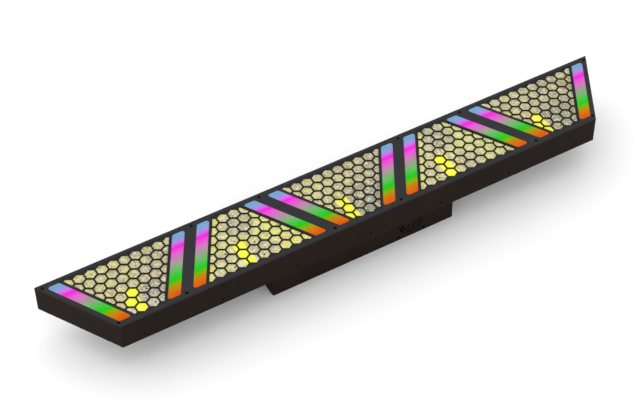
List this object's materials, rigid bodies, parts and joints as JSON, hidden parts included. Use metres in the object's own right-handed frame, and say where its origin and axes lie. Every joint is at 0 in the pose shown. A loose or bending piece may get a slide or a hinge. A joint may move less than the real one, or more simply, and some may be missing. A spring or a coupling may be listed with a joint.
{
  "type": "led strip batten",
  "caption": "Long tapered stage light batten with honeycomb blinder zones, slanted pixel strips and a fan-cooled driver box under the middle.",
  "frame": {"origin": "middle of the footprint, at the underside of the driver box", "axes": "+X along the batten, +Y towards the long edge and the connector side, +Z out of the light-emitting face"},
  "size_m": [1.0796, 0.143, 0.1115],
  "materials": {
    "face_coat": "fine powder coat, dark grey",
    "side_coat": "fine powder coat, near black",
    "grid_black": "satin black",
    "screw_black": "black oxide",
    "cell_lens": "prismatic, speckled cream",
    "led_board": "white solder mask",
    "strip_opal": "opal diffuser over lit pixels",
    "carrier_metal": "mill finish",
    "supply_case": "folded sheet case",
    "insert_steel": "zinc plated",
    "control_board": "green solder mask",
    "display_glass": "smoked window",
    "button_grey": "satin",
    "power_socket": "moulded",
    "data_socket": "moulded with metal contacts",
    "fan_black": "moulded glass-filled"
  },
  "bodies": {
    "housing": {"face_plate": "face_coat", "honeycomb_grid_1": "grid_black", "honeycomb_grid_2": "grid_black", "honeycomb_grid_3": "grid_black", "honeycomb_grid_4": "grid_black", "honeycomb_grid_5": "grid_black", "face_screw_01": "screw_black", "face_screw_02": "screw_black", "face_screw_03": "screw_black", "face_screw_04": "screw_black", "face_screw_05": "screw_black", "face_screw_06": "screw_black", "face_screw_07": "screw_black", "face_screw_08": "screw_black", "face_screw_09": "screw_black", "face_screw_10": "screw_black", "face_screw_11": "screw_black", "face_screw_12": "screw_black", "zone_lens_1": "cell_lens", "zone_lens_2": "cell_lens", "zone_lens_3": "cell_lens", "zone_lens_4": "cell_lens", "zone_lens_5": "cell_lens", "led_board_1": "led_board", "led_board_2": "led_board", "led_board_3": "led_board", "led_board_4": "led_board", "led_board_5": "led_board", "strip_diffuser_01": "strip_opal", "strip_diffuser_02": "strip_opal", "strip_diffuser_03": "strip_opal", "strip_diffuser_04": "strip_opal", "strip_diffuser_05": "strip_opal", "strip_diffuser_06": "strip_opal", "strip_diffuser_07": "strip_opal", "strip_diffuser_08": "strip_opal", "strip_diffuser_09": "strip_opal", "strip_diffuser_10": "strip_opal", "front_rail": "side_coat", "back_rail": "side_coat", "left_end_plate": "side_coat", "right_end_plate": "side_coat", "rear_cover": "side_coat", "led_carrier": "carrier_metal", "driver_box": "side_coat", "rigging_insert_left": "insert_steel", "rigging_insert_right": "insert_steel", "power_supply": "supply_case", "control_board": "control_board", "display_window": "display_glass", "power_inlet": "power_socket", "power_outlet": "power_socket", "data_inlet": "data_socket", "data_outlet": "data_socket", "fan_frame": "fan_black"},
    "fan_rotor": {"fan_rotor": "fan_black"},
    "menu_button_1": {"menu_button_1": "button_grey"},
    "menu_button_2": {"menu_button_2": "button_grey"},
    "menu_button_3": {"menu_button_3": "button_grey"},
    "menu_button_4": {"menu_button_4": "button_grey"}
  },
  "joints": [
    {"name": "fan_spin", "type": "hinge", "parent": "housing", "child": "fan_rotor", "pos_m": [0.092, -0.0446, 0.0317], "axis": [0, 1, 0], "continuous": true},
    {"name": "menu_button_1_press", "type": "slide", "parent": "housing", "child": "menu_button_1", "axis": [0, -1, 0], "range_m": [0, 0.001], "stiffness_N_per_m": 400},
    {"name": "menu_button_2_press", "type": "slide", "parent": "housing", "child": "menu_button_2", "axis": [0, -1, 0], "range_m": [0, 0.001], "stiffness_N_per_m": 400},
    {"name": "menu_button_3_press", "type": "slide", "parent": "housing", "child": "menu_button_3", "axis": [0, -1, 0], "range_m": [0, 0.001], "stiffness_N_per_m": 400},
    {"name": "menu_button_4_press", "type": "slide", "parent": "housing", "child": "menu_button_4", "axis": [0, -1, 0], "range_m": [0, 0.001], "stiffness_N_per_m": 400}
  ]
}
